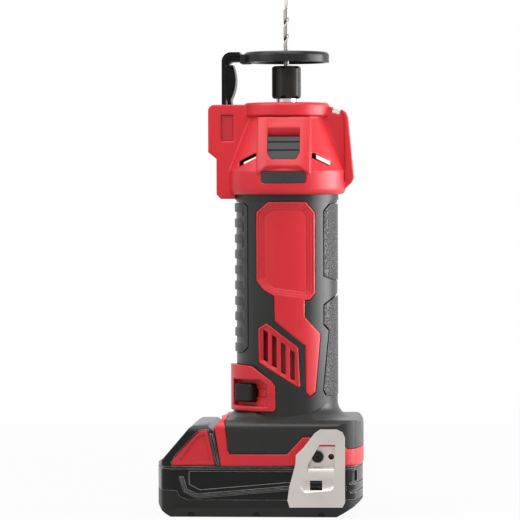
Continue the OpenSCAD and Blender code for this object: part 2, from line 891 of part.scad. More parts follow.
module motor_can() {
    color("#8b8e92")
        difference() {
            ring(can_r, can_r - 1.8, can_z0, can_z1);
            // cooling windows beside the brushes
            for (a = [45, 135, 225, 315])
                rotate([0, 0, a])
                    box(10, 40, -5, 5, can_z0 + 5, can_z0 + 11);
        }
    color("#8b8e92")
        difference() {
            ring(can_r - 1.7, shaft_r + 3, can_z1 - 1.8, can_z1);
            for (a = [0:60:300])
                rotate([0, 0, a])
                    translate([can_r - 9.7, 0, can_z1 - 3])
                        cylinder(r = 3.6, h = 6);
        }
}

module field_magnets() {
    color("#3a3a3d")
        for (a = [0, 90, 180, 270])
            rotate([0, 0, a])
                intersection() {
                    ring(can_r - 1.85, core_r + 0.8, can_z0 + 20, can_z1 - 8);
                    linear_extrude(big * 2)
                        polygon([[0, 0], [60, -42], [60, 42]]);
                }
}

module armature_core() {
    color("#6f7276")
        difference() {
            ring(core_r, shaft_r + fit, can_z0 + 22, can_z1 - 12);
            for (i = [0:11])
                rotate([0, 0, i * 30])
                    box(core_r - 5, core_r + 1, -1.1, 1.1, can_z0 + 20, can_z1);
        }
}

module armature_windings() {
    color("#a4532a") {
        for (i = [0:11])
            rotate([0, 0, i * 30])
                box(core_r - 4.9, core_r - 0.8, -1, 1, can_z0 + 17, can_z1 - 7);
        for (z = [can_z0 + 17.2, can_z1 - 11.9])
            ring(core_r - 1.5, shaft_r + 1.5, z, z + 4.7);
    }
}

module commutator() {
    color("#b87333")
        difference() {
            ring(comm_r, shaft_r + fit, can_z0 + 4, can_z0 + 16);
            for (i = [0:11])
                rotate([0, 0, i * 30 + 15])
                    box(comm_r - 1, comm_r + 1, -0.25, 0.25, can_z0 + 3, can_z0 + 14.5);
        }
}

module brush_plate() {
    color("#2f3033")
        difference() {
            union() {
                ring(can_r - 1.85, comm_r + 1, can_z0 + 0.2, can_z0 + 3.2);
                ring(13.4, bearing_r + fit, rear_bearing_z - 0.1, can_z0 + 1);
                ring(13.4, 7, rear_bearing_z - 2.2, rear_bearing_z - 0.1);
            }
            for (a = [45, 135, 225, 315])
                rotate([0, 0, a])
                    translate([can_r - 6.1, 0, can_z0 - 1])
                        cylinder(r = 2.2, h = 8);
        }
}

module brush_holders() {
    color("#c8a24a")
        for (a = [0, 180])
            rotate([0, 0, a])
                difference() {
                    box(comm_r + 1.6, can_r - 2.2, -3.6, 3.6, can_z0 + 3.25, can_z0 + 13.2);
                    box(comm_r, can_r - 3, -2.6, 2.6, can_z0 + 4.4, can_z0 + 12.2);
                }
}

module carbon_brushes() {
    color("#26262a")
        for (a = [0, 180])
            rotate([0, 0, a])
                difference() {
                    box(comm_r - 0.6, can_r - 5.8, -2.5, 2.5, can_z0 + 4.5, can_z0 + 12.1);
                    translate([0, 0, can_z0])
                        cylinder(r = comm_r + 0.1, h = 20);
                }
}

module brush_springs() {
    color("#c9ccd0")
        for (a = [0, 180])
            rotate([0, 0, a])
                translate([can_r - 5.78, 0, can_z0 + 8.3])
                    rotate([0, 90, 0])
                        coil(1.9, 0.25, 2.75, 3);
}

module cooling_fan() {
    z0 = can_z1 + 2.6;
    color("#e4e2da")
        difference() {
            union() {
                translate([0, 0, z0])
                    cylinder(r = bore_r - 2.4, h = 1.4);
                translate([0, 0, z0])
                    cylinder(r = 7.5, h = 9);
                for (i = [0:12])
                    rotate([0, 0, i * 360 / 13])
                        translate([6, -0.7, z0])
                            rotate([0, 0, 14])
                                cube([bore_r - 9.4, 1.3, 8.4]);
            }
            translate([0, 0, z0 - 1])
                cylinder(r = shaft_r + fit, h = 20);
        }
}

// Depth guide

module depth_foot() {
    top = disc_z + disc_t;
    color("#1d1d1e")
        difference() {
            union() {
                rotate_extrude()
                    union() {
                        translate([6, top - 2.4])
                            square([disc_r - 8.2, 2.4]);
                        translate([disc_r - 2.2, disc_z])
                            square([2.2, disc_t - 2.2]);
                        translate([disc_r - 2.2, top - 2.2])
                            circle(2.2);
                    }
                ring(8, 6, disc_z + 1.6, top - 1);
                // cheeks beside the end of the arm
                box(-disc_r - 1.6, 4 - disc_r, -7.4, 7.4, disc_z - 0.6, top - 1.4);
                for (i = [0:5])
                    rotate([0, 0, i * 60 + 30])
                        box(7.5, disc_r - 1.5, -0.7, 0.7, disc_z + 1.4, top - 2);
            }
            box(-disc_r - 5, -15.6, -5.7, 5.7, disc_z - 1, disc_z + 3.65);
            box(-disc_r - 5, 0.1 - disc_r, -5.7, 5.7, disc_z - 1, top + 1);
            for (y = [-3, 3])
                translate([-20.5, y, disc_z])
                    cylinder(r = 1.22, h = disc_t - 0.9);
        }
}

module depth_arm() {
    top = disc_z + disc_t;
    bend = 5.5;
    color("#1d1d1e")
        difference() {
            union() {
                translate([0, arm_w / 2, 0])
                    rotate([90, 0, 0])
                        linear_extrude(arm_w)
                            union() {
                                translate([arm_x, arm_z])
                                    square([arm_t, top - bend - arm_z]);
                                translate([arm_x + bend, top - arm_t])
                                    square([-disc_r - 1.8 - arm_x - bend, arm_t]);
                                intersection() {
                                    translate([arm_x + bend, top - bend])
                                        difference() {
                                            circle(bend);
                                            circle(bend - arm_t);
                                        }
                                    translate([arm_x - 1, top - bend])
                                        square([bend + 1, bend + 1]);
                                }
                            }
                // stiffening web inside the elbow, and the tongue under the foot
                prism_y([[arm_x + 1.2, disc_z - 1.6], [arm_x + 1.2, top - 5], [arm_x + 4.6, top - 1.2],
                    [-disc_r - 0.25, top - 1.2], [-disc_r - 0.25, disc_z + 0.4], [-31.4, disc_z + 0.4],
                    [arm_x + arm_t + 0.4, disc_z - 1.6]], -5.6, 5.6);
                box(-disc_r - 1, -16.2, -5.5, 5.5, disc_z + 0.4, disc_z + 3.6);
            }
            for (y = [-3, 3])
                translate([-20.5, y, disc_z])
                    cylinder(r = 1.35, h = 10);
            for (y = [-3, 3])
                translate([-20.5, y, disc_z])
                    cylinder(r = 2.4, h = 1.6);
        }
}

module foot_screws() {
    color("#6b6d70")
        for (y = [-3, 3])
            translate([-20.5, y, 0]) {
                translate([0, 0, disc_z + 0.45])
                    difference() {
                        cylinder(r = 2.2, h = 1.1);
                        translate([0, 0, -0.5])
                            cylinder(r = 0.9, h = 1.1, $fn = 6);
                    }
                translate([0, 0, disc_z + 1.5])
                    cylinder(r = 1.2, h = disc_t - 2.5);
            }
}

module guide_lever() {
    inner = arm_x + arm_t + 0.3;
    side = arm_w / 2;
    color("#202021")
        difference() {
            union() {
                // curved thumb blade beside the arm
                intersection() {
                    rod_y(24, -53.2, z_collar + 13.3, -side, side);
                    prism_y([[inner + 0.9, z_collar + 0.4], [inner, z_collar + 3.4], [inner, z_collar + 21.6],
                        [inner + 1, z_collar + 22.2], [-26, z_collar + 22.2], [-26, z_collar + 0.4]], -side, side);
                }
                prism_y([[lever_x - 1.6, lever_z], [inner + 0.9, z_collar + 3], [inner + 2.6, z_collar + 3],
                    [lever_x + 1.6, lever_z]], -side, side);
                rod_y(1.85, lever_x, lever_z, -side, side);
            }
            rod_y(1.06, lever_x, lever_z, -20, 20);
        }
}

module lever_pin() {
    color("#b9bcc0")
        rod_y(1, lever_x, lever_z, 1 - holder_half_w, holder_half_w - 1);
}

// Switch and wiring

module switch_slider() {
    left = -11.5;
    face = -barrel_r - 1.5;
    back = 3 - barrel_r;
    color("#2a2a2b")
        switch_frame()
            difference() {
                union() {
                    prism_x([[face, switch_z - 4.6], [face + 0.8, switch_z - 5.4], [back, switch_z - 5.4],
                        [back, switch_z + 5.4], [face + 0.8, switch_z + 5.4], [face, switch_z + 4.6]],
                        left, left + slide_l);
                    box(-5, 5, back - 0.1, 4.6 - bore_r, switch_z - 2, switch_z + 2);
                }
                for (i = [1:4])
                    box(left + i * slide_l / 5 - 0.6, left + i * slide_l / 5 + 0.6, -60, face + 0.7, 0, big * 2);
            }
}

module switch_module() {
    face = 4.9 - bore_r;
    color("#232427")
        switch_frame() {
            box(-9, 9, face, face + 12, switch_z - 6.8, switch_z + 6.8);
            box(-11, 11, face + 3, face + 9, switch_z - 3, switch_z + 3);
            for (x = [-5, 5])
                box(x - 2.4, x + 2.4, face + 11.9, face + 16.5, switch_z - 0.4, switch_z + 0.4);
        }
}

module control_board() {
    z0 = z_shoulder - 5.7;
    color("#1f5a38") {
        box(-15.6, 15.6, 5, 6.6, z0, rear_bearing_z - 2.6);
        for (x = [-9, 9])
            box(x - 5, x + 5, 6.5, 9.5, z0 + 20, z0 + 30);
        rod_y(5, 0, z0 + 10, 6.5, 14.6);
        box(-6, 6, 6.5, 8, z0 + 33, z0 + 40);
    }
}

module lead_wires() {
    color("#a02020") {
        for (x = [13, 17])
            translate([x, 4, dock_z + 0.1])
                cylinder(r = 0.9, h = 13);
        switch_frame()
            for (x = [-5, 5])
                translate([x, 10.9 - bore_r, switch_z + 6.9])
                    cylinder(r = 0.9, h = can_z0 + 0.1 - switch_z - 6.9);
    }
}

module terminal_block() {
    color("#26272a")
        difference() {
            union() {
                box(11, dock_end - 0.1, 4.5 - rail_half, rail_half - 4.5, dock_z - 3, dock_z - 0.1);
                box(30, dock_end - 0.1, 2.5 - rail_half, rail_half - 2.5, z_foot + 3, dock_z - 0.1);
            }
            for (y = blade_rows)
                box(25, 33, y - 0.42, y + 0.42, z_foot + 5.9, dock_z - 3.9);
        }
}

module terminal_blades() {
    color("#c8a24a")
        for (y = blade_rows)
            box(16, 32.9, y - 0.4, y + 0.4, z_foot + 6, dock_z - 4);
}

module housing_screws() {
    color("#5e6063")
        for (p = body_screw_at)
            difference() {
                union() {
                    rod_y(1.75, p[0], p[1], -12, 14);
                    rod_y(3, p[0], p[1], 13.9, 15.9);
                }
                rod_y(1.3, p[0], p[1], 14.8, 17);
            }
}

// Belt hook

module hook_inserts() {
    color("#b08d3c") {
        difference() {
            rod_y(insert_r, hook_x, hook_z, 0.05 - foot_half_w, insert_l - foot_half_w);
            rod_y(insert_bore, hook_x, hook_z, -big, 0);
        }
        difference() {
            rod_y(insert_r, hook_x, hook_z, foot_half_w - insert_l, foot_half_w - 0.05);
            rod_y(insert_bore, hook_x, hook_z, 0, big);
        }
    }
}

module hook_screw() {
    face = -foot_half_w - hook_t - 0.05;
    color("#2a2a2c")
        difference() {
            union() {
                rod_y(2, hook_x, hook_z, face, insert_l - foot_half_w - 1);
                rod_y(3.3, hook_x, hook_z, face - 2.2, face);
            }
            translate([hook_x, face - 1.2, hook_z])
                rotate([90, 0, 0])
                    cylinder(r = 1.5, h = 3, $fn = 6);
        }
}

module belt_hook() {
    y0 = hook_y - hook_t;
    outline = [[21.3, 51.7], [30.6, 51.7], [33.9, 50.2], [35.4, 47], [35.4, 9.8], [33.9, 7.1], [3.8, 7],
        [2.5, 11], [3.6, 18.7], [7.2, 32], [7.5, 37], [11.9, 41.4], [18.2, 49.6]];
    lift = z_foot - 30;
    inner = -foot_half_w - 0.05;
    press_r = 6.4;
    color("#bdb7b4")
        translate([0, 0, lift])
            difference() {
                union() {
                    prism_y(outline, y0, hook_y);
                    // tab lanced from the window, bent in and up against the foot
                    prism_x([[y0, 27.6], [inner - 1, 27.6], [inner, 28.6], [inner, 41.4], [inner - hook_t, 41.4],
                        [inner - hook_t, 29.4], [inner - hook_t - 0.3, 29.2], [y0, 29.2]], 13.8, 29.4);
                }
                // window above the lanced tab
                prism_y([[21, 43], [29.8, 43], [29.8, 29.2], [14, 29.2], [14.6, 32.2]], y0 - 1, hook_y + 0.01);
                // rounded root of the tab
                prism_x([[y0 - 0.1, 26.2], [y0 - 0.1, 29.3], [y0 + hook_t - 0.1, 29.3]], 13.9, 29.3);
                // pressed oblong with its square hole
                translate([19.8, y0 + 1.1 - press_r, 19.6])
                    rotate([0, 84, 0]) {
                        translate([0, 0, -6.2])
                            cylinder(r = press_r, h = 12.4);
                        for (z = [-6.2, 6.2])
                            translate([0, 0, z])
                                sphere(r = press_r);
                    }
                box(15.4, 22.4, y0 - 1, hook_y + 1, 16.8, 22.4);
                rod_y(2.2, hook_x, hook_z - lift, inner - hook_t - 1, 0);
                rod_y(1.7, hook_peg_x, hook_z - lift, inner - hook_t - 1, 0);
            }
}

// Battery pack

module pack_plan(inset) {
    intersection() {
        round_rect(inset - battery_front, inset - battery_half_w, foot_rear - 0.5 - inset,
            battery_half_w - inset, 16 - inset);
        translate([110 - battery_front, 0])
            circle(110 - inset);
        translate([foot_rear - 0.5 - 120, 0])
            circle(120 - inset);
    }
}

function front_lip_pts(g) = [[-big, case_seam - 3], [-big, case_seam + 5.2 + g], [-61.8 + g, case_seam + 5.2 + g],
    [-60.4 + g, case_seam + 2.1], [-56 + g, case_seam], [-56 + g, case_seam - 3]];

module battery_lower_case() {
    rear = foot_rear - 0.5;
    color("#2e2e2f")
        difference() {
            intersection() {
                union() {
                    linear_extrude(case_seam)
                        pack_plan(0);
                    intersection() {
                        linear_extrude(case_seam + 8)
                            pack_plan(0);
                        prism_y(front_lip_pts(0), -60, 60);
                    }
                }
                prism_y([[-battery_front + 9.5, 0], [rear - 14, 0], [rear, 8.6], [rear, 40], [-battery_front, 40],
                    [-battery_front, 7.2]], -60, 60);
                prism_x([[5 - battery_half_w, 0], [battery_half_w - 5, 0], [battery_half_w, 5.6],
                    [battery_half_w, 40], [-battery_half_w, 40], [-battery_half_w, 5.6]], -big, big);
            }
            intersection() {
                translate([0, 0, case_wall])
                    linear_extrude(40)
                        pack_plan(case_wall);
                prism_y([[10.5 - battery_front, case_wall], [rear - 15, case_wall], [rear - case_wall, 9.4],
                    [rear, 40], [-battery_front, 40], [case_wall - battery_front, 8.6]], -60, 60);
                prism_x([[5.3 - battery_half_w, case_wall], [battery_half_w - 5.3, case_wall],
                    [battery_half_w - case_wall, 5.65], [battery_half_w, 40], [-battery_half_w, 40],
                    [case_wall - battery_half_w, 5.65]], -big, big);
            }
            // pockets along the lower edges
            both_sides()
                for (x = [-54, -16, 21.5])
                    rod_y(2.2, x, 0.9, -60, 4.6 - battery_half_w);
        }
}

module block_form() {
    r = 5;
    // rounded upper edges
    block_side = concat([[battery_half_w, 0]], [for (a = [0:15:75])
        [battery_half_w - r + r * cos(a), z_foot + 18 + r * sin(a)]], [[battery_half_w - r, z_foot + 18 + r]]);
    intersection() {
        prism_y([[-battery_front, z_foot - 12], [0.8 - battery_front, z_foot - 1.6], [-56.4, z_foot + 19.6],
            [-54.8, z_foot + 21.6], [-52.4, z_foot + 22.8], [-43.6, z_foot + 22.8], [-foot_front - 0.5, z_foot + 20],
            [-foot_front_low - 0.55, z_foot - 0.3], [-foot_front_low - 0.55, z_foot - 12]], -60, 60);
        linear_extrude(big)
            pack_plan(0);
        prism_x(concat(block_side, [for (i = [len(block_side) - 1:-1:0]) [-block_side[i][0], block_side[i][1]]]),
            -big, big);
    }
}

function latch_pts(g) = [[-43.8 + g, z_foot + 20.4 + g], [-47.6, z_foot + 20.2 + g],
    [-50.6 - g, z_foot + 18.4 + g], [-60.8 - g, z_foot + 7.7], [-64.8 - g, z_foot + 1.9],
    [-64.2 - g, z_foot - 0.1 - g], [-39.4 + g, z_foot + 0.1 - g]];

// A line along the side of the pack, t above its lower edge, forwards or back
function line_pts(t, back = false) = let (pts = [[-60.4 + t, case_seam + 13.4],
    [-57.8 + 0.75 * t, case_seam + 4.6 + 0.66 * t], [-50.4 + 0.2 * t, case_seam + 1 + t], [2.5, case_seam + 5.6 + t],
    [36, case_seam + 5.6 + t]]) back ? [for (i = [4:-1:0]) pts[i]] : pts;

module battery_upper_case() {
    top = z_foot - 0.35;
    color("#1c1c1d")
        difference() {
            union() {
                translate([0, 0, case_seam + 0.02])
                    linear_extrude(top - case_seam - 0.02)
                        pack_plan(0);
                block_form();
                // rail tower that slides into the foot
                box(-45, 29.4, -rail_half + clear, rail_half - clear, top - 1, rail_z + 1);
                box(-45, 29.4, -rail_head + clear, rail_head - clear, rail_z + clear, dock_z - 3.3);
                // two raised lines along the sides
                both_sides()
                    for (t = [0, 1.6])
                        prism_y(concat(line_pts(t), line_pts(t + 0.9, true)),
                            -battery_half_w - 0.65, 0.5 - battery_half_w);
                // raised edge of the block, beside the foot
                both_sides()
                    prism_y([[-42.4, z_foot + 18.4], [-41.2, z_foot + 18.4], [-37.6, z_foot + 0.6],
                        [-38.6, z_foot + 0.6]], -battery_half_w - 0.4, 2.4 - battery_half_w);
            }
            prism_y(front_lip_pts(0.15), -60, 60);
            // inside for the cells
            translate([0, 0, case_seam - 1])
                linear_extrude(top - case_seam - 1.4)
                    pack_plan(case_wall);
            prism_y([[-70, z_foot - 6], [-56.5, z_foot + 12], [-52, z_foot + 15.4], [-46.4, z_foot + 15.4],
                [-42, z_foot - 6]], 12.5 - battery_half_w, battery_half_w - 12.5);
            // pockets of the two latches
            both_sides()
                prism_y(latch_pts(0.3), -60, latch_travel + 7 - battery_half_w);
            // slots that the blades of the tool enter
            for (y = blade_rows)
                box(14, 40, y - 1, y + 1, z_foot + 5.6, dock_z);
            // bare panel on each side
            both_sides()
                prism_y([[-54.6, case_seam + 9], [-48.4, case_seam + 5.8], [2, case_seam + 10.2],
                    [30, case_seam + 10.2], [30, case_seam + 16.4], [-54.6, case_seam + 16.4]],
                    -60, 0.7 - battery_half_w);
            // shadow line under the foot
            difference() {
                box(-big, big, -big, big, z_foot - 1.9, z_foot - 0.8);
                linear_extrude(big)
                    pack_plan(0.8);
            }
            // grooves round the rear end
            difference() {
                union() {
                    for (z = [case_seam + 4, case_seam + 9])
                        box(37.5, 60, -60, 60, z, z + 1.1);
                    box(39.4, 41.6, -60, 60, case_seam + 10, z_foot - 3);
                }
                linear_extrude(big)
                    pack_plan(0.8);
            }
        }
}

module latch_plate() {
    difference() {
        union() {
            prism_y(latch_pts(0), -latch_y, 4 - battery_half_w);
            prism_y([[-58, z_foot + 3], [-44, z_foot + 3], [-44, z_foot + 12], [-54, z_foot + 12]],
                3.9 - battery_half_w, 5 - battery_half_w);
        }
        // sunk finger face
        prism_y([[-45.6, z_foot + 18], [-49.4, z_foot + 16.8], [-60.2, z_foot + 3], [-42.2, z_foot + 2.4]],
            -60, 0.8 - latch_y);
    }
}

module latch_near() {
    color("#d5202c")
        latch_plate();
}

module latch_far() {
    color("#d5202c")
        mirror([0, 1, 0])
            latch_plate();
}

module latch_springs() {
    color("#c9ccd0")
        both_sides()
            translate([-51, 5.02 - battery_half_w, z_foot + 7.5])
                rotate([-90, 0, 0])
                    coil(2.4, 0.3, latch_travel + 1.95, 3);
}

module battery_cells() {
    color("#3f6f8f")
        for (i = [-2:2])
            rod_y(cell_d / 2, cell_mid + i * cell_pitch, cell_z, -cell_l / 2, cell_l / 2);
}

module cell_holders() {
    span = cell_pitch * 5;
    color("#e8e4d8")
        both_sides()
            difference() {
                box(cell_mid - span / 2, cell_mid + span / 2, 5 - cell_l / 2, 11 - cell_l / 2,
                    cell_z - 5, cell_z + cell_d / 2 + 1);
                for (i = [-2:2])
                    rod_y(cell_d / 2 + 0.05, cell_mid + i * cell_pitch, cell_z, -60, 0);
            }
}

module battery_board() {
    z0 = cell_z + cell_d / 2 + 1.1;
    color("#1f5a38") {
        box(-44, 16, 13.5 - battery_half_w, battery_half_w - 13.5, z0, z0 + 1.2);
        box(-30, -18, -8, 8, z0 + 1.1, z0 + 2.4);
    }
}

module battery_contacts() {
    color("#c8a24a")
        for (y = blade_rows) {
            box(15, 23, y - 1, y - 0.5, z_foot + 5.65, dock_z - 4);
            box(15, 23, y + 0.5, y + 1, z_foot + 5.65, dock_z - 4);
        }
}

housing_near();
housing_far();
overmold_near();
overmold_far();
front_grips();
rear_grips();
nose_housing();
nose_pad();
lamp_lens();
lock_button();
lock_pin();
lock_spring();
lock_collar();
motor_shaft();
spindle_nose();
collet();
collet_nut();
cutting_bit();
front_bearing_outer();
front_bearing_inner();
front_bearing_balls();
rear_bearing_outer();
rear_bearing_inner();
rear_bearing_balls();
motor_can();
field_magnets();
armature_core();
armature_windings();
commutator();
brush_plate();
brush_holders();
carbon_brushes();
brush_springs();
cooling_fan();
depth_foot();
depth_arm();
foot_screws();
guide_lever();
lever_pin();
switch_slider();
switch_module();
control_board();
lead_wires();
terminal_block();
terminal_blades();
housing_screws();
belt_hook();
hook_screw();
hook_inserts();
battery_lower_case();
battery_upper_case();
latch_near();
latch_far();
latch_springs();
battery_cells();
cell_holders();
battery_board();
battery_contacts();
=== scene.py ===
from math import cos, radians, sin, tau

import bmesh
import bpy
from mathutils import Matrix, Quaternion, Vector


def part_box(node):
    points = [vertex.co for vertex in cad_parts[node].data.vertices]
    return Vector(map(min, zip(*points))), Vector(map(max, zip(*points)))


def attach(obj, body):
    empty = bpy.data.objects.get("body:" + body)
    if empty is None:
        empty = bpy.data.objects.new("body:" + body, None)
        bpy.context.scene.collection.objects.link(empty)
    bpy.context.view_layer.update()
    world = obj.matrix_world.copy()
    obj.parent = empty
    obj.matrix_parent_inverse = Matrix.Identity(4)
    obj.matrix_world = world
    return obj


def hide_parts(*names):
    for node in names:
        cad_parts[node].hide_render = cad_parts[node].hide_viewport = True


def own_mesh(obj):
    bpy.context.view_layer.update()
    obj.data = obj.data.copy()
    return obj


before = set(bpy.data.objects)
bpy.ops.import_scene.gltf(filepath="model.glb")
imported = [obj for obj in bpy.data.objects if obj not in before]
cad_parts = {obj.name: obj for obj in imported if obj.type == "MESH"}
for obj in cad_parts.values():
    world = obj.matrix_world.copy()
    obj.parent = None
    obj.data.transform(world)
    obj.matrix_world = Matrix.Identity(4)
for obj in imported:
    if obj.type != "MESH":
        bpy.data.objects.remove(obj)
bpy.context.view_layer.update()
scene = bpy.context.scene
scene.view_settings.view_transform = "Standard"


# Studio: a white paper sweep under soft lamps, as for a catalogue picture.
# The tool stands on its battery, a little to the right of the picture's middle, seen through a long lens
# from slightly above.

def linear(code):
    """A colour such as "#d5202c" as linear red, green, blue and alpha."""
    parts = [int(code[i:i + 2], 16) / 255 for i in (1, 3, 5)]
    return tuple(c / 12.92 if c <= 0.04045 else ((c + 0.055) / 1.055) ** 2.4 for c in parts) + (1.0,)


def add(tree, kind, settings=None, links=None):
    """Adds a node; settings name its properties or sockets, and links join a socket to an output."""
    made = tree.nodes.new(kind)
    for key, value in (settings or {}).items():
        if isinstance(key, str) and hasattr(made, key):
            setattr(made, key, value)
        else:
            made.inputs[key].default_value = value
    for key, source in (links or {}).items():
        tree.links.new(source, made.inputs[key])
    return made


def seen_or_mirrored(tree):
    """1 for rays that show the backdrop: from the camera, off gloss or through glass."""
    path = add(tree, "ShaderNodeLightPath")
    first = add(tree, "ShaderNodeMath", {"operation": "MAXIMUM"},
                {0: path.outputs["Is Camera Ray"], 1: path.outputs["Is Glossy Ray"]})
    return add(tree, "ShaderNodeMath", {"operation": "MAXIMUM"},
               {0: first.outputs[0], 1: path.outputs["Is Transmission Ray"]}).outputs[0]


# The picture is 520 pixels wide and shows 0.585 mm with each of them at the spindle's axis.
PICTURE_WIDTH = 520 * 0.000585
SENSOR_MM = 36.0
YAW, TILT, ROLL = radians(4.0), radians(1.43), radians(-0.2)
DISTANCE, SIGHT_END = 1.755, 50
MIDDLE_HEIGHT, MIDDLE_LEFT = 0.1474, 0.0158
across = Vector((cos(YAW), sin(YAW), 0))
target = Vector((0, 0, MIDDLE_HEIGHT)) - across * MIDDLE_LEFT
toward = Vector((sin(YAW) * cos(TILT), -cos(YAW) * cos(TILT), sin(TILT)))
lens = bpy.data.cameras.new("long lens")
lens.sensor_width = SENSOR_MM
lens.lens = SENSOR_MM * DISTANCE / PICTURE_WIDTH
lens.clip_end = SIGHT_END
camera = bpy.data.objects.new("camera", lens)
camera.location = target + toward * DISTANCE
aim = (-toward).to_track_quat("-Z", "Y") @ Quaternion((0, 0, 1), ROLL)
camera.rotation_euler = aim.to_euler()
scene.collection.objects.link(camera)
scene.camera = camera

world = bpy.data.worlds.new("white studio")
scene.world = world
world.use_nodes = True
sky = world.node_tree
sky.nodes.clear()
room = add(sky, "ShaderNodeBackground", {"Color": linear("#f2f3f6"), "Strength": 0.18})
paper = add(sky, "ShaderNodeBackground", {"Color": (1, 1, 1, 1), "Strength": 1.0})
shown = add(sky, "ShaderNodeMixShader", None,
            {0: seen_or_mirrored(sky), 1: room.outputs[0], 2: paper.outputs[0]})
add(sky, "ShaderNodeOutputWorld", None, {"Surface": shown.outputs[0]})

# The paper is lit to white for the eye and for mirrors; near the tool a small share of it is plain paper,
# which takes the shadow. Its light gray keeps it from throwing too much light up at the battery.
FADE_FROM, FADE_TO, LIT_SHARE = 0.15, 0.9, 0.93
FLOOR_HALF = 6
sweep = bpy.data.materials.new("White paper sweep")
sweep.use_nodes = True
tree = sweep.node_tree
tree.nodes.clear()
matt = add(tree, "ShaderNodeBsdfDiffuse", {"Color": linear("#c8c8c6")})
lit = add(tree, "ShaderNodeEmission", {"Color": (1, 1, 1, 1), "Strength": 1.0})
spot = add(tree, "ShaderNodeTexCoord")
reach = add(tree, "ShaderNodeVectorMath", {"operation": "LENGTH"}, {0: spot.outputs["Object"]})
fade = add(tree, "ShaderNodeMapRange",
           {"From Min": FADE_FROM, "From Max": FADE_TO, "To Min": LIT_SHARE, "To Max": 1.0},
           {"Value": reach.outputs["Value"]})
part_lit = add(tree, "ShaderNodeMath", {"operation": "MULTIPLY"},
               {0: seen_or_mirrored(tree), 1: fade.outputs[0]})
both = add(tree, "ShaderNodeMixShader", None,
           {0: part_lit.outputs[0], 1: matt.outputs[0], 2: lit.outputs[0]})
add(tree, "ShaderNodeOutputMaterial", None, {"Surface": both.outputs[0]})
floor_mesh = bpy.data.meshes.new("floor")
floor_mesh.from_pydata([(x * FLOOR_HALF, y * FLOOR_HALF, 0) for x, y in ((-1, -1), (1, -1), (1, 1), (-1, 1))],
                       [], [(0, 1, 2, 3)])
floor_mesh.materials.append(sweep)
floor = bpy.data.objects.new("floor", floor_mesh)
scene.collection.objects.link(floor)

# Each lamp: its place in m, its width and height in m, its power in W and the height that it aims at.
LAMPS = (("key lamp", (0.08, -0.30, 0.58), (0.40, 0.40), 1.76, 0.24),
         ("right strip", (0.85, 0.16, 0.10), (0.45, 0.6), 9.6, 0.08),
         ("right front", (0.80, -0.20, 0.16), (0.30, 0.7), 4.2, 0.12),
         ("left fill", (-0.52, -0.36, 0.58), (0.45, 0.5), 3.0, 0.24),
         ("top lamp", (-0.15, 0.05, 1.15), (0.7, 0.7), 6.6, 0.15))
for title, place, size, power, aim_z in LAMPS:
    lamp = bpy.data.lights.new(title, "AREA")
    lamp.shape = "RECTANGLE"
    lamp.size, lamp.size_y = size
    lamp.energy = power
    held = bpy.data.objects.new(title, lamp)
    held.location = place
    held.rotation_euler = (Vector((0, 0, aim_z)) - held.location).to_track_quat("-Z", "Y").to_euler()
    scene.collection.objects.link(held)


# Clamshell: two half shells of the body, screwed together along the parting line.
# Injection moulded in red glass-filled nylon, with a fine spark-eroded skin and a soft edge all round.

def new_material(name, colour, rough, metal=0.0, level=0.5):
    """A material with one Principled shader; colour and roughness may be linked over later."""
    made = bpy.data.materials.new(name)
    made.use_nodes = True
    shader = made.node_tree.nodes["Principled BSDF"]
    shader.inputs["Base Color"].default_value = linear(colour)
    shader.inputs["Roughness"].default_value = rough
    shader.inputs["Metallic"].default_value = metal
    shader.inputs["Specular IOR Level"].default_value = level
    return made, made.node_tree, shader


def grain(tree, shader, size_mm, depth_mm, strength=1.0, soft_mm=0.0):
    """A moulded or blasted skin: bumps of one size, over edges that catch light as if rounded by soft_mm.

    Real skins of this kind are 0.05 to 0.2 mm fine, so each is drawn as coarse as it needs to show.
    """
    spot = add(tree, "ShaderNodeTexCoord")
    cloud = add(tree, "ShaderNodeTexNoise", {"Scale": 1000 / size_mm, "Detail": 2.0},
                {"Vector": spot.outputs["Object"]})
    bump = add(tree, "ShaderNodeBump", {"Strength": strength, "Distance": depth_mm / 1000},
               {"Height": cloud.outputs["Fac"]})
    if soft_mm:
        soft = add(tree, "ShaderNodeBevel", {"samples": 12, "Radius": soft_mm / 1000})
        tree.links.new(soft.outputs["Normal"], bump.inputs["Normal"])
    tree.links.new(bump.outputs["Normal"], shader.inputs["Normal"])
    return spot, cloud


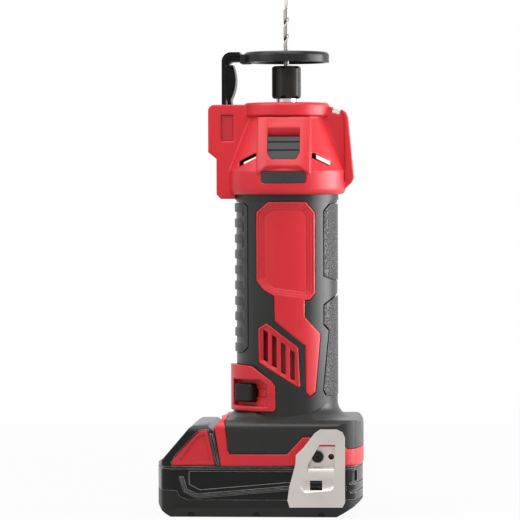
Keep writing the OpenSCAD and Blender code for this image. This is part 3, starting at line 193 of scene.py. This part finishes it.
def tint(tree, shader, spot, dark, plain, wear_and_highlight, patch_mm, edge_mm, edge_reach=0.5, painted_crease_shade=0.0):
    """Slow changes of colour over the piece, a paler line along its edges (wear on most pieces, a painted
    highlight on the polished battery case), and painted shade in its seams and creases.
    """
    patch = add(tree, "ShaderNodeTexNoise", {"Scale": 1000 / patch_mm, "Detail": 3.0},
                {"Vector": spot.outputs["Object"]})
    body = add(tree, "ShaderNodeMix", {"data_type": "RGBA"}, {0: patch.outputs["Fac"]})
    body.inputs[6].default_value, body.inputs[7].default_value = linear(dark), linear(plain)
    rounded = add(tree, "ShaderNodeBevel", {"samples": 4, "Radius": edge_mm / 1000})
    facing = add(tree, "ShaderNodeNewGeometry")
    turn = add(tree, "ShaderNodeVectorMath", {"operation": "DOT_PRODUCT"},
               {0: rounded.outputs["Normal"], 1: facing.outputs["Normal"]})
    flat, turned = 0.995, 0.90
    edge = add(tree, "ShaderNodeMapRange",
               {"From Min": flat, "From Max": turned, "To Min": 0.0, "To Max": edge_reach},
               {"Value": turn.outputs["Value"]})
    wear_and_painted_light = add(tree, "ShaderNodeMath", {"operation": "MULTIPLY"},
                 {0: edge.outputs[0], 1: patch.outputs["Fac"]})
    skin = add(tree, "ShaderNodeMix", {"data_type": "RGBA"}, {0: wear_and_painted_light.outputs[0], 6: body.outputs[2]})
    skin.inputs[7].default_value = linear(wear_and_highlight)
    if painted_crease_shade:
        seam_mm, shut, open_air = 1.2, 0.35, 0.75
        near = add(tree, "ShaderNodeAmbientOcclusion", {"samples": 8, "Distance": seam_mm / 1000})
        crease_shade_amount = add(tree, "ShaderNodeMapRange",
                   {"From Min": shut, "From Max": open_air, "To Min": painted_crease_shade, "To Max": 0.0},
                   {"Value": near.outputs["AO"]})
        shaded_skin = add(tree, "ShaderNodeMix", {"data_type": "RGBA"}, {0: crease_shade_amount.outputs[0], 6: skin.outputs[2]})
        # A near-black colour paints the shade into seams and creases, where the ambient occlusion finds them.
        shaded_skin.inputs[7].default_value = linear("#0c0607")
        skin = shaded_skin
    tree.links.new(skin.outputs[2], shader.inputs["Base Color"])


SAME_POINT, SHARP = 0.000004, radians(32)


def dress(names, material, edge_mm=0.0, steps=2):
    """Gives CAD nodes their finish, and breaks their sharp edges by edge_mm."""
    for name in names.split():
        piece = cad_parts[name]
        piece.data.materials.clear()
        piece.data.materials.append(material)
        if "custom_normal" in piece.data.attributes:
            piece.data.attributes.remove(piece.data.attributes["custom_normal"])
        for face in piece.data.polygons:
            face.use_smooth = True
        weld = piece.modifiers.new("weld", "WELD")
        weld.merge_threshold = SAME_POINT
        if edge_mm:
            bevel = piece.modifiers.new("broken edge", "BEVEL")
            bevel.width = edge_mm / 1000
            bevel.segments = steps
            bevel.limit_method = "ANGLE"
            bevel.angle_limit = SHARP
            bevel.harden_normals = True
            bevel.miter_outer = "MITER_ARC"
        else:
            split = piece.modifiers.new("sharp edges", "EDGE_SPLIT")
            split.split_angle = SHARP


# Satin red: even colour, small bright grain, a soft broad highlight.
# The grain of 0.12 mm is drawn at 0.7 mm to show.
red_nylon, tree, shader = new_material("Moulded red glass-filled nylon", "#c7202b", 0.44, 0.0, 0.42)
spot, cloud = grain(tree, shader, 0.7, 0.012, 1.0, 1.7)
tint(tree, shader, spot, "#c11d28", "#cd232e", "#e0565c", 24, 0.5)
satin = add(tree, "ShaderNodeMapRange", {"To Min": 0.34, "To Max": 0.46}, {"Value": cloud.outputs["Fac"]})
tree.links.new(satin.outputs[0], shader.inputs["Roughness"])
dress("housing_near housing_far", red_nylon, 0.35)

# Sheets behind the louvres: a thin curved sheet of deep red behind each louvre, inside the bore of the grip.
# They close the view into the grip and stand in for the shade inside it, so that the air slots look dark red.
slot_shade_red, tree, shader = new_material("Moulded deep red nylon", "#8c1722", 0.5)
spot, _ = grain(tree, shader, 0.6, 0.012)
tint(tree, shader, spot, "#82141f", "#961a26", "#b04750", 8, 0.3)
screen_r, screen_t = 24.6, 0.3
screen_low, screen_high = 78.6, 109.6
screen_left, screen_right, screen_steps = -33.0, 18.0, 24
for side, label in ((-1, "near"), (1, "far")):
    screen_mesh = bpy.data.meshes.new("louvre_screen_" + label)
    bm = bmesh.new()
    loops = []
    for i in range(screen_steps + 1):
        a = radians(screen_left + (screen_right - screen_left) * i / screen_steps)
        loops.append([bm.verts.new((r * sin(a) / 1000, side * r * cos(a) / 1000, z / 1000))
                      for r, z in ((screen_r, screen_low), (screen_r, screen_high),
                                   (screen_r - screen_t, screen_high), (screen_r - screen_t, screen_low))])
    for one, two in zip(loops, loops[1:]):
        for k in range(4):
            bm.faces.new((one[k], two[k], two[(k + 1) % 4], one[(k + 1) % 4]))
    bm.faces.new(loops[0])
    bm.faces.new(loops[-1])
    bmesh.ops.recalc_face_normals(bm, faces=bm.faces[:])
    bm.to_mesh(screen_mesh)
    bm.free()
    screen_mesh.materials.append(slot_shade_red)
    screen = bpy.data.objects.new("louvre_screen_" + label, screen_mesh)
    scene.collection.objects.link(screen)
    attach(screen, "tool")

# Case screws: self-tapping steel screws deep in their bores, turned and given a black oxide skin.
# Dark, with bright rubbed edges on the head.
black_oxide, tree, shader = new_material("Black oxide turned steel", "#2c2a28", 0.36, 1.0)
spot, _ = grain(tree, shader, 0.5, 0.006)
tint(tree, shader, spot, "#262422", "#32302e", "#6a6865", 6, 0.5, 0.9)
dress("housing_screws", black_oxide, 0.15)


# Soft overmold: a skin of thermoplastic rubber moulded over each half shell, with windows for the red panels.
# The front grip has moulded ribs, and the rear pads are pebbled so that the hand doesn't slip.
# Matte dark gray with a little sheen at grazing light; its grain of 0.2 mm is drawn at 0.8 mm to show.
rubber, tree, shader = new_material("Moulded thermoplastic rubber", "#171615", 0.36, 0.0, 0.31)
spot, _ = grain(tree, shader, 0.8, 0.012)
# Painted shade darkens its seams and the edges of its windows.
tint(tree, shader, spot, "#131211", "#1a1918", "#3e3d3c", 18, 0.5, 0.5, 0.9)
shader.inputs["Sheen Weight"].default_value = 0.12
shader.inputs["Sheen Roughness"].default_value = 0.5
dress("overmold_near overmold_far", rubber, 0.12)
dress("front_grips", rubber, 0.18)

# Rear pads: the same rubber moulded in small domes that catch the light one by one.
# Pebbles of about 0.8 mm are drawn at 1.3 mm to show.
PEBBLE_MM, PEBBLE_DEPTH = 1.3, 0.0004
pebbled, tree, shader = new_material("Pebbled thermoplastic rubber", "#1b1b1c", 0.38, 0.0, 0.40)
spot = add(tree, "ShaderNodeTexCoord")
pebbles = add(tree, "ShaderNodeTexVoronoi",
              {"feature": "SMOOTH_F1", "Scale": 1000 / PEBBLE_MM, "Smoothness": 0.1, "Randomness": 0.9},
              {"Vector": spot.outputs["Object"]})
dome = add(tree, "ShaderNodeMapRange", {"From Min": 0.0, "From Max": 0.62, "To Min": 1.0, "To Max": 0.0},
           {"Value": pebbles.outputs["Distance"]})
bump = add(tree, "ShaderNodeBump", {"Strength": 1.0, "Distance": PEBBLE_DEPTH}, {"Height": dome.outputs[0]})
tree.links.new(bump.outputs["Normal"], shader.inputs["Normal"])
# Painted shade darkens its seams and creases.
tint(tree, shader, spot, "#232222", "#302f2f", "#5e5d5d", 12, 0.5, 0.5, 0.9)
# Painted highlight on the tops of the domes, and painted shade in the gaps between them.
wear_and_painted_light = add(tree, "ShaderNodeMapRange", {"From Min": 0.2, "From Max": 0.6, "To Min": 3.0, "To Max": 0.2},
             {"Value": pebbles.outputs["Distance"]})
painted_pebble_light = add(tree, "ShaderNodeMix", {"data_type": "RGBA", "blend_type": "MULTIPLY", 0: 1.0},
              {6: shader.inputs["Base Color"].links[0].from_socket, 7: wear_and_painted_light.outputs[0]})
tree.links.new(painted_pebble_light.outputs[2], shader.inputs["Base Color"])
dress("rear_grips", pebbled, 0.15)


# Nose: a red housing that carries the front bearing, the depth guide's holder and the lamp.
# The same moulded nylon as the body, with rounded edges; the air leaves by the slots in its cone.
dress("nose_housing", red_nylon, 0.5, 3)

# Plates in the recesses on both sides of the guide holder: thin film in a deeper red, left plain, for the
# label there and as painted shade in the recess. Each lies on the floor of its recess, with a narrow margin
# all round.
deep_red, tree, shader = new_material("Printed deep red polycarbonate film", "#b01a26", 0.35)
spot, _ = grain(tree, shader, 0.6, 0.008)
tint(tree, shader, spot, "#a71722", "#b81d29", "#cf4750", 12, 0.3)
low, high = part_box("nose_housing")
plate_left, plate_right = low[0] + 0.0079, low[0] + 0.0143
plate_low, plate_high = high[2] - 0.0218, high[2] - 0.0074
plate_under, plate_face, plate_edge = 0.00875, 0.00905, 0.00008
for side, label in ((-1, "near"), (1, "far")):
    plate_mesh = bpy.data.meshes.new("holder_plate_" + label)
    bm = bmesh.new()
    corners = []
    for depth in (plate_under, plate_face):
        for x, z in ((plate_left, plate_low), (plate_right, plate_low),
                     (plate_right, plate_high), (plate_left, plate_high)):
            corners.append(bm.verts.new((x, side * depth, z)))
    for ids in ((3, 2, 1, 0), (4, 5, 6, 7), (0, 1, 5, 4), (1, 2, 6, 5), (2, 3, 7, 6), (3, 0, 4, 7)):
        bm.faces.new([corners[k] for k in (ids if side > 0 else reversed(ids))])
    bmesh.ops.bevel(bm, geom=bm.edges[:], offset=plate_edge, segments=2, affect="EDGES")
    bmesh.ops.recalc_face_normals(bm, faces=bm.faces[:])
    bm.to_mesh(plate_mesh)
    bm.free()
    plate_mesh.materials.append(deep_red)
    plate = bpy.data.objects.new("holder_plate_" + label, plate_mesh)
    scene.collection.objects.link(plate)
    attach(plate, "tool")

# Lock button and inlaid pad: gray ABS, moulded with a fine matt texture.
# They look even and dull, with a paler line on the ribs.
gray_abs, tree, shader = new_material("Moulded gray ABS", "#262628", 0.44, 0.0, 0.36)
spot, _ = grain(tree, shader, 0.6, 0.012)
tint(tree, shader, spot, "#212123", "#2b2b2d", "#525255", 9, 0.4)
dress("nose_pad lock_button", gray_abs, 0.35, 3)

# Lamp lens: clear polycarbonate pressed into the top of the rear pod, faintly frosted over its diode.
clear_lens, tree, shader = new_material("Clear moulded polycarbonate", "#f4f1e6", 0.12)
shader.inputs["Transmission Weight"].default_value = 0.75
shader.inputs["IOR"].default_value = 1.58
grain(tree, shader, 1.2, 0.01, 0.4)
dress("lamp_lens", clear_lens, 0.3, 3)


# Motor: a can with ferrite magnets round a wound armature, with brushes below and a fan above.
# Mostly steel and copper, seen only in slices through the louvres and the exhaust slots.

# Core and can: stamped steel sheet, gray and dull, with bright rubbed edges.
core_steel, tree, shader = new_material("Stamped electrical steel", "#77797c", 0.38, 1.0)
spot, _ = grain(tree, shader, 0.5, 0.01)
tint(tree, shader, spot, "#66686b", "#86888b", "#a6a8aa", 8, 0.4)
dress("motor_can armature_core", core_steel)

# Magnets: sintered ferrite, charcoal gray and dull like slate.
ferrite, tree, shader = new_material("Sintered ferrite", "#3b3b3d", 0.55)
spot, _ = grain(tree, shader, 0.4, 0.015)
tint(tree, shader, spot, "#333335", "#434345", "#5a5a5c", 7, 0.3)
dress("field_magnets", ferrite, 0.3)

# Windings: copper wire under clear enamel, brown and shiny. Wires of 0.5 mm are drawn about 1.9 mm apart
# to show: the wave texture sets some three bands in each 6 mm.
WAVE_MM, WAVE_DEPTH = 6.0, 0.0003
copper, tree, shader = new_material("Enamelled copper wire", "#b06a3a", 0.32, 1.0)
spot = add(tree, "ShaderNodeTexCoord")
strands = add(tree, "ShaderNodeTexWave", {"Scale": 1000 / WAVE_MM, "Distortion": 1.5},
              {"Vector": spot.outputs["Object"]})
bump = add(tree, "ShaderNodeBump", {"Strength": 0.6, "Distance": WAVE_DEPTH},
           {"Height": strands.outputs["Fac"]})
tree.links.new(bump.outputs["Normal"], shader.inputs["Normal"])
tint(tree, shader, spot, "#9c5628", "#bd7a48", "#d49a6c", 4, 0.3)
dress("armature_windings commutator", copper)

# Brushes: pressed carbon, nearly black with a soft metallic gray where it is rubbed.
carbon, tree, shader = new_material("Pressed carbon graphite", "#29292c", 0.5)
spot, _ = grain(tree, shader, 0.3, 0.012)
tint(tree, shader, spot, "#232326", "#303033", "#4a4a4d", 3, 0.2)
dress("carbon_brushes", carbon, 0.2)

# Brass: stamped or turned, yellow and smooth, with bright edges.
brass, tree, shader = new_material("Stamped brass", "#c29a4a", 0.3, 1.0)
spot, _ = grain(tree, shader, 0.4, 0.008)
tint(tree, shader, spot, "#b0883c", "#cfa95a", "#e0c688", 4, 0.3)
dress("brush_holders terminal_blades battery_contacts hook_inserts", brass, 0.1)

# Fan and cell holders: nylon without pigment, a milky off-white.
natural_nylon, tree, shader = new_material("Moulded natural nylon", "#e6e2d6", 0.45)
spot, _ = grain(tree, shader, 0.5, 0.01)
tint(tree, shader, spot, "#dcd8cb", "#ece8dd", "#f4f1ea", 8, 0.3)
dress("cooling_fan cell_holders", natural_nylon, 0.2)

# Black moulded plastic of the brush plate, the switch and the terminal block: satin, fine grain.
black_nylon, tree, shader = new_material("Moulded black nylon", "#101010", 0.36, 0.0, 0.20)
spot, _ = grain(tree, shader, 0.6, 0.012)
tint(tree, shader, spot, "#0c0c0c", "#131313", "#303032", 10, 0.4)
dress("brush_plate switch_module terminal_block", black_nylon, 0.2)


# Spindle: a ground steel shaft in two ball bearings, with the lock collar, the collet and its nut.
# The nut is turned hexagon bar with a black oxide skin, and the bit is a spiral cutter.

# Ground steel: bright, with fine lines round the shaft that spread the light.
# Marks of 0.05 mm are drawn as lines 3 mm long and 0.2 mm apart to show.
LINE_MM = 3.0
ground_steel, tree, shader = new_material("Ground tool steel", "#c4c2be", 0.24, 1.0)
spot = add(tree, "ShaderNodeTexCoord")
squeeze = add(tree, "ShaderNodeMapping", {"Scale": (1.0, 1.0, 14.0)}, {"Vector": spot.outputs["Object"]})
lines = add(tree, "ShaderNodeTexNoise", {"Scale": 1000 / LINE_MM, "Detail": 4.0},
            {"Vector": squeeze.outputs[0]})
shine = add(tree, "ShaderNodeMapRange", {"To Min": 0.18, "To Max": 0.36}, {"Value": lines.outputs["Fac"]})
tree.links.new(shine.outputs[0], shader.inputs["Roughness"])
tint(tree, shader, spot, "#b2b0ac", "#cfcdc9", "#e4e2de", 5, 0.3)
dress("motor_shaft spindle_nose lock_collar collet lock_pin lever_pin", ground_steel, 0.1)
dress("front_bearing_outer front_bearing_inner rear_bearing_outer rear_bearing_inner", ground_steel)
dress("front_bearing_balls rear_bearing_balls", ground_steel)

# Cutter: high speed steel left as hardened, grayer than the ground parts and finely lined along the flute.
cutter_steel, tree, shader = new_material("Hardened high speed steel", "#8f8c89", 0.30, 1.0)
spot, _ = grain(tree, shader, 0.4, 0.01)
tint(tree, shader, spot, "#827f7c", "#9d9a97", "#c5c2be", 3, 0.2)
dress("cutting_bit", cutter_steel)
dress("brush_springs", ground_steel)


def pressed_spring(name, node, side, body):
    """A copy of one side's coil as a piece of its own, with its own mesh, riding on one body."""
    dress(node, ground_steel)
    wire = bpy.data.meshes.new(name)
    bm = bmesh.new()
    bm.from_mesh(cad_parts[node].data)
    bmesh.ops.delete(bm, geom=[v for v in bm.verts if v.co.y * side < 0], context="VERTS")
    bm.to_mesh(wire)
    bm.free()
    coil = bpy.data.objects.new(name, wire)
    scene.collection.objects.link(coil)
    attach(coil, body)
    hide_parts(node)
    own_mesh(coil)


pressed_spring("lock_coil", "lock_spring", -1, "tool")
pressed_spring("latch_coil_near", "latch_springs", -1, "battery")
pressed_spring("latch_coil_far", "latch_springs", 1, "battery")
dress("collet_nut", black_oxide, 0.5, 3)


# Depth guide: a round glass-filled nylon foot screwed to a bent steel strap, with a thumb lever beside it.
# The strap is powder coated black, which pools a little glossier on its bends.
black_coat, tree, shader = new_material("Black powder coated steel", "#0b0b0b", 0.28, 0.0, 0.12)
spot, _ = grain(tree, shader, 0.9, 0.02)
tint(tree, shader, spot, "#080808", "#0e0e0e", "#3a3a3b", 9, 0.5)
dress("depth_arm", black_coat, 0.5, 3)

# Thumb lever: black acetal moulded smooth, nearly as dark as the strap, with only its rims rubbed paler.
black_acetal, tree, shader = new_material("Moulded black acetal", "#0b0b0b", 0.28, 0.0, 0.10)
spot, _ = grain(tree, shader, 0.6, 0.008)
tint(tree, shader, spot, "#080808", "#0e0e0e", "#242425", 9, 0.3)
dress("guide_lever", black_acetal, 0.5, 3)

# Foot: nylon filled with glass, satin, so that it catches a broad pale light on its rim.
satin_nylon, tree, shader = new_material("Moulded glass-filled black nylon", "#121212", 0.30, 0.0, 0.26)
spot, _ = grain(tree, shader, 0.7, 0.015, 1.0, 0.8)
tint(tree, shader, spot, "#0f0f0f", "#161616", "#4a4a4c", 12, 0.5)
dress("depth_foot", satin_nylon, 0.6, 3)
dress("foot_screws", black_oxide, 0.1)


# Slide switch: a plain black button on a stem, in the recess of the red surround, at 45 degrees to the front.
# Moulded black nylon with rounded corners and a slightly domed face; a red cover closes the rest of its slot.
SWITCH_Z, SWITCH_TURN = 71.0, radians(-45)
CORNER_STEPS = 5


def rounded_block(bm, x0, x1, z0, z1, corner, layers):
    """A block with rounded corners in the switch's own frame; layers are pairs of depth and inset, in mm."""
    turn = Matrix.Rotation(SWITCH_TURN, 4, "Z")
    loops = []
    for y, inset in layers:
        r = corner - inset * 0.6
        loop = []
        for cx, cz, start in ((x1 - inset - r, z1 - inset - r, 0), (x0 + inset + r, z1 - inset - r, 90),
                              (x0 + inset + r, z0 + inset + r, 180), (x1 - inset - r, z0 + inset + r, 270)):
            for k in range(CORNER_STEPS + 1):
                a = radians(start + 90 / CORNER_STEPS * k)
                loop.append(bm.verts.new(turn @ Vector((cx + r * cos(a), y, cz + r * sin(a))) / 1000))
        loops.append(loop)
    for one, two in zip(loops, loops[1:]):
        for k in range(len(one)):
            n = (k + 1) % len(one)
            bm.faces.new((one[k], one[n], two[n], two[k]))
    bm.faces.new(loops[0])
    bm.faces.new(loops[-1])


def switch_piece(name, blocks, material, body):
    """A smooth piece of rounded blocks that rides on one body."""
    mesh = bpy.data.meshes.new(name)
    bm = bmesh.new()
    for block in blocks:
        rounded_block(bm, *block)
    bmesh.ops.recalc_face_normals(bm, faces=bm.faces[:])
    bm.to_mesh(mesh)
    bm.free()
    for face in mesh.polygons:
        face.use_smooth = True
    mesh.materials.append(material)
    piece = bpy.data.objects.new(name, mesh)
    split = piece.modifiers.new("sharp edges", "EDGE_SPLIT")
    split.split_angle = radians(40)
    scene.collection.objects.link(piece)
    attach(piece, body)
    return piece


dress("switch_slider", black_nylon)
button_box = (-11.5, 3.2, SWITCH_Z - 5.6, SWITCH_Z + 5.4)
stem_box = (-5.0, -1.0, SWITCH_Z - 2.0, SWITCH_Z + 2.0)
cover_box = (4.2, 10.95, SWITCH_Z - 2.35, SWITCH_Z + 2.35)
button_corner, stem_corner = 1.9, 0.3
face_layers = ((-26.45, 0.0), (-30.0, 0.1), (-30.5, 0.3), (-30.8, 0.65), (-30.97, 1.3), (-31.0, 2.6))
stem_layers = ((-20.3, 0.0), (-26.5, 0.0))
cover_layers = ((-25.3, 0.0), (-26.15, 0.0))
button = switch_piece("slide_button", ((*button_box, button_corner, face_layers),
                                       (*stem_box, stem_corner, stem_layers)),
                      black_nylon, "switch")
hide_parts("switch_slider")
switch_piece("slot_cover", ((*cover_box, stem_corner, cover_layers),), red_nylon, "tool")

# Ring mark beside the switch: a thin bead raised from the round surround.
# It is printed in the deeper red.
ring_mesh = bpy.data.meshes.new("switch_ring_mark")
bm = bmesh.new()
turns, sides, ring_r, wire_r = 40, 8, 0.0017, 0.00022
loops = []
for i in range(turns):
    a = tau * i / turns
    loop = []
    for k in range(sides):
        b = tau * k / sides
        r = ring_r + wire_r * cos(b)
        loop.append(bm.verts.new((r * cos(a), r * sin(a), wire_r * sin(b))))
    loops.append(loop)
for i in range(turns):
    for k in range(sides):
        n, m = (i + 1) % turns, (k + 1) % sides
        bm.faces.new((loops[i][k], loops[n][k], loops[n][m], loops[i][m]))
bm.to_mesh(ring_mesh)
bm.free()
ring_mesh.materials.append(deep_red)
for face in ring_mesh.polygons:
    face.use_smooth = True
mark = bpy.data.objects.new("switch_ring_mark", ring_mesh)
surround_x, surround_r = -0.0035, 0.0295
ring_x, ring_y, ring_z = -0.0082, -0.02912, 0.0696
out = Vector((ring_x - surround_x, ring_y, 0)).normalized()
mark.matrix_world = (Matrix.Translation(Vector((surround_x, 0, ring_z)) + out * surround_r)
                     @ out.to_track_quat("Z", "Y").to_matrix().to_4x4())
scene.collection.objects.link(mark)
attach(mark, "tool")

# Boards inside the grip and the battery: glass-epoxy sheet under green solder mask, which shines a little.
green_board, tree, shader = new_material("Green solder mask on glass epoxy", "#1f5a38", 0.3)
spot, _ = grain(tree, shader, 0.6, 0.01)
tint(tree, shader, spot, "#194d2f", "#276a43", "#4c8b66", 4, 0.3)
dress("control_board battery_board", green_board, 0.1)

# Lead wires: stranded copper in smooth red PVC.
red_pvc, tree, shader = new_material("Red PVC insulation", "#a02020", 0.4)
spot, _ = grain(tree, shader, 0.5, 0.01)
tint(tree, shader, spot, "#8f1a1a", "#ad2626", "#c24a4a", 5, 0.3)
dress("lead_wires", red_pvc)


# Belt hook: stamped spring steel plate with a lanced tab, screwed to the foot through a brass insert.
# Satin nickel plate: pale and warm, with fine lines along the rolling direction and painted shade in its
# creases.
# The lines of 0.1 mm are drawn 9 mm long and 0.5 mm apart, and the grit of 0.1 mm at 0.5 mm, to show.
ROLLED_MM, GRIT_MM, GRIT_DEPTH = 9.0, 0.5, 0.00002
nickel, tree, shader = new_material("Satin nickel plated spring steel", "#c3bcb7", 0.40, 1.0)
spot = add(tree, "ShaderNodeTexCoord")
squeeze = add(tree, "ShaderNodeMapping", {"Scale": (18.0, 1.0, 1.0)}, {"Vector": spot.outputs["Object"]})
lines = add(tree, "ShaderNodeTexNoise", {"Scale": 1000 / ROLLED_MM, "Detail": 5.0},
            {"Vector": squeeze.outputs[0]})
shine = add(tree, "ShaderNodeMapRange", {"To Min": 0.32, "To Max": 0.48}, {"Value": lines.outputs["Fac"]})
tree.links.new(shine.outputs[0], shader.inputs["Roughness"])
# The seam setting paints shade into the slot's recess and the creases.
tint(tree, shader, spot, "#b8b1ac", "#cdc6c1", "#e8e4e0", 14, 0.4, 0.5, 0.7)
grit = add(tree, "ShaderNodeTexNoise", {"Scale": 1000 / GRIT_MM, "Detail": 1.0},
           {"Vector": spot.outputs["Object"]})
bump = add(tree, "ShaderNodeBump", {"Strength": 0.5, "Distance": GRIT_DEPTH}, {"Height": grit.outputs["Fac"]})
tree.links.new(bump.outputs["Normal"], shader.inputs["Normal"])
dress("belt_hook", nickel, 0.35, 3)
dress("hook_screw", black_oxide, 0.2)


# Battery pack: a gloss black upper case on a textured lower case, with a red latch button on each side.
# Two mouldings of ABS blend screwed together; the upper one is polished, the lower one blasted.
# Polished, the upper case is deep black, with a painted highlight, a pale line, along its grooves and edges.
gloss_abs, tree, shader = new_material("Polished black ABS", "#0e0e0f", 0.24, 0.0, 0.20)
spot, _ = grain(tree, shader, 4.0, 0.015)
tint(tree, shader, spot, "#090808", "#100f0f", "#cfcdca", 16, 0.3, 1.7)
dress("battery_upper_case", gloss_abs, 0.3)

# The lower case: a dull charcoal, from a mould blasted with grit.
blasted_abs, tree, shader = new_material("Blasted dark gray ABS", "#1a1a1b", 0.46, 0.0, 0.24)
spot, _ = grain(tree, shader, 0.8, 0.02)
tint(tree, shader, spot, "#121110", "#1a1918", "#3c3b3a", 12, 0.5)
dress("battery_lower_case", blasted_abs, 0.7, 3)
dress("latch_near latch_far", red_nylon, 0.5, 3)

# Cells: steel cans in a thin blue sleeve, shrunk on, slightly glossy.
cell_sleeve, tree, shader = new_material("Shrunk PVC cell sleeve", "#3f6f8f", 0.35)
spot, _ = grain(tree, shader, 2.0, 0.02)
tint(tree, shader, spot, "#37637f", "#487b9c", "#6d99b5", 9, 0.4)
dress("battery_cells", cell_sleeve, 0.5)
